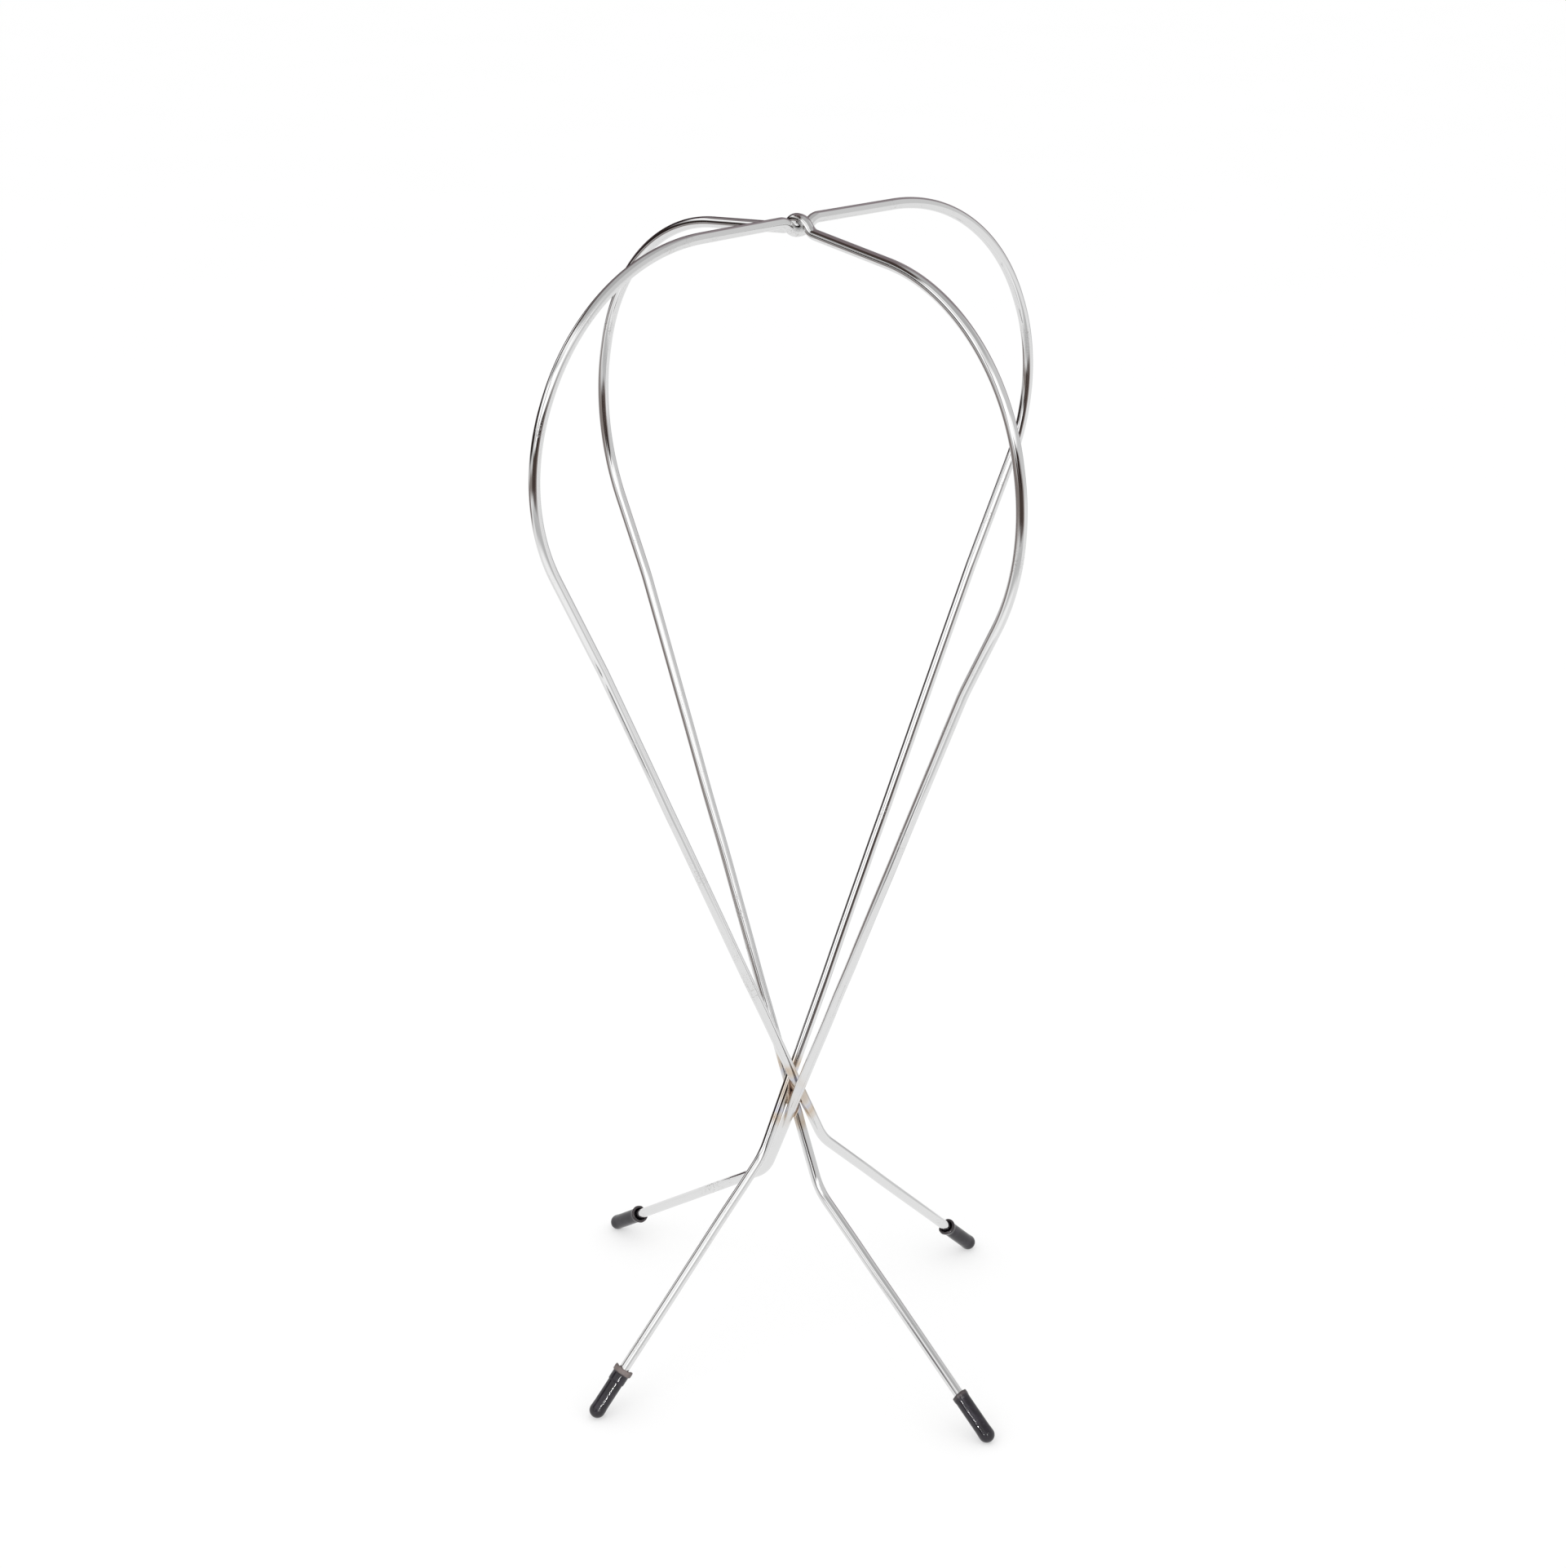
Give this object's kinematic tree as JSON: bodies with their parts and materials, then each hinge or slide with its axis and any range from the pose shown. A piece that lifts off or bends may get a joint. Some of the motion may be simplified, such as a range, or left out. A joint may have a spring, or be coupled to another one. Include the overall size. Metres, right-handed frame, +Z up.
{
  "type": "valet stand",
  "caption": "Free-standing wire valet stand: crossed lobed steel frames, joined at a top knot and a low brazed crossing, on splayed legs with rubber caps.",
  "frame": {"origin": "on the floor, under the axis that the knot and the low crossing share", "axes": "+Z up, -Y towards the front, the two frames' planes at 45 degrees each side of the X axis"},
  "size_m": [0.3842, 0.387, 1.0131],
  "materials": {
    "plated_wire": "bright plated, lightly pitted and heat tinted at the low crossing",
    "braze": "plated over, dull brown",
    "foot_rubber": "semi-gloss moulded, scuffed"
  },
  "bodies": {
    "root": {"wide_frame_wire": "plated_wire", "narrow_frame_wire": "plated_wire", "crossing_braze": "braze", "front_left_foot_cap": "foot_rubber", "front_right_foot_cap": "foot_rubber", "back_left_foot_cap": "foot_rubber", "back_right_foot_cap": "foot_rubber"}
  },
  "joints": []
}
